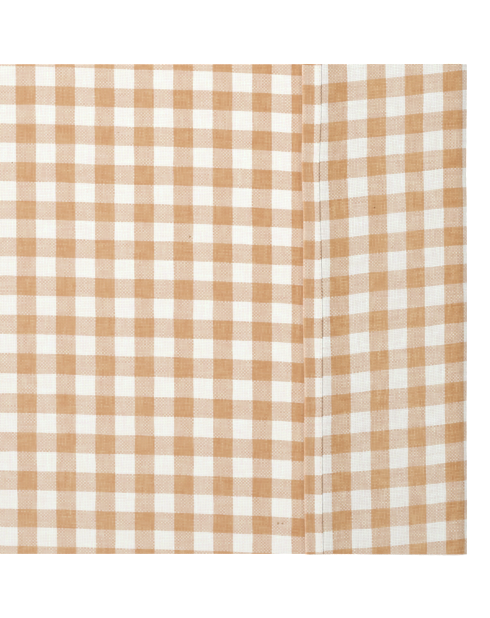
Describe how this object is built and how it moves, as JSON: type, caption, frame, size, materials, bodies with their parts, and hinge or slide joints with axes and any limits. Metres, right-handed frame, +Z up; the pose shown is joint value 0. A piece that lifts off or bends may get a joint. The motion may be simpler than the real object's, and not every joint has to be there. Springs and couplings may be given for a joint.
{
  "type": "checked curtain cloth, cut length with its side hem folded over",
  "caption": "Flat cut length of checked plain-weave curtain cloth, one side folded softly back over the face to show the reverse and the turned side hem.",
  "frame": {"origin": "middle of the flat underside, on the surface the cloth lies on", "axes": "+Z up, +Y along the warp towards the far cut edge, +X across the cloth towards the fold"},
  "size_m": [0.3274, 0.3116, 0.0052],
  "materials": {
    "checked_cloth": "yarn-dyed tan and white plain weave with an even check, matt, the reverse slightly duller"
  },
  "bodies": {
    "root": {"curtain_cloth": "checked_cloth"}
  },
  "joints": []
}
